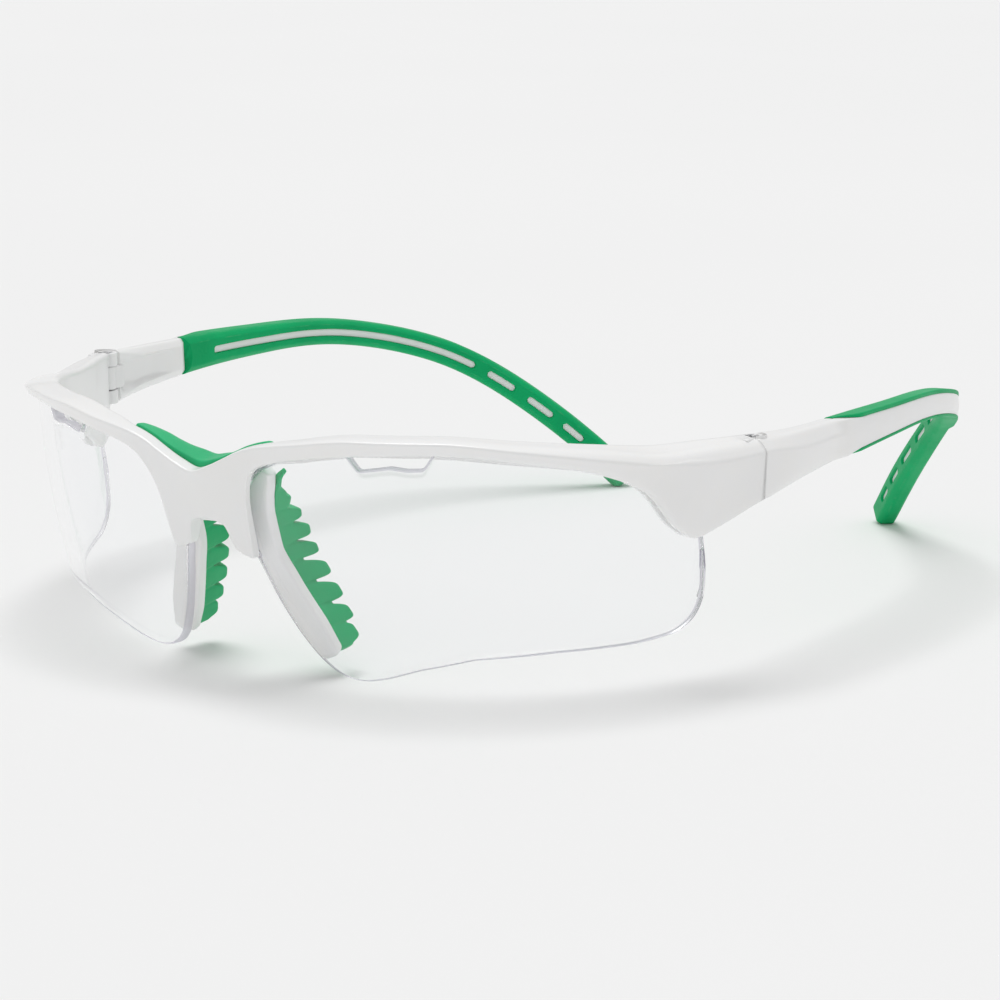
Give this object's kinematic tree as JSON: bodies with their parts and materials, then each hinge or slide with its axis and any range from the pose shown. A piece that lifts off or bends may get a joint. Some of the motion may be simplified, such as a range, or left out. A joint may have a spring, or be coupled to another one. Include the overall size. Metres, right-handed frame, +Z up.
{
  "type": "sports protective glasses",
  "caption": "Half-rim wraparound sports protective glasses with clear lenses, a soft brow pad, comb nose pads and folding temples with soft slotted grips.",
  "frame": {"origin": "on the surface the glasses stand on, midway across and midway from the bridge to the temple tips", "axes": "+Z up, -Y to the front where the lenses face, +X to the wearer's left"},
  "size_m": [0.148, 0.1727, 0.0431],
  "materials": {
    "white_frame": "gloss white moulded nylon",
    "white_nose": "gloss white moulded nylon",
    "white_temple": "gloss white moulded nylon",
    "green_soft": "soft green elastomer",
    "green_pad": "soft green elastomer",
    "green_grip": "soft green elastomer",
    "clear_lens": "clear polished polycarbonate",
    "screw_steel": "turned steel"
  },
  "bodies": {
    "front": {"front_frame": "white_frame", "brow_bumper": "green_soft", "lens_left": "clear_lens", "lens_right": "clear_lens", "nose_saddle": "white_nose", "nose_pad_left": "green_pad", "nose_pad_right": "green_pad", "hinge_screw_left": "screw_steel", "hinge_screw_right": "screw_steel"},
    "left_temple": {"temple_arm_left": "white_temple", "temple_grip_left": "green_grip"},
    "right_temple": {"temple_arm_right": "white_temple", "temple_grip_right": "green_grip"}
  },
  "joints": [
    {"name": "left_temple_fold", "type": "hinge", "parent": "front", "child": "left_temple", "pos_m": [0.0696, -0.0283, 0.0346], "axis": [0, 0, 1], "range_deg": [0, 86]},
    {"name": "right_temple_fold", "type": "hinge", "parent": "front", "child": "right_temple", "pos_m": [-0.0696, -0.0283, 0.0346], "axis": [0, 0, -1], "range_deg": [0, 78]}
  ]
}
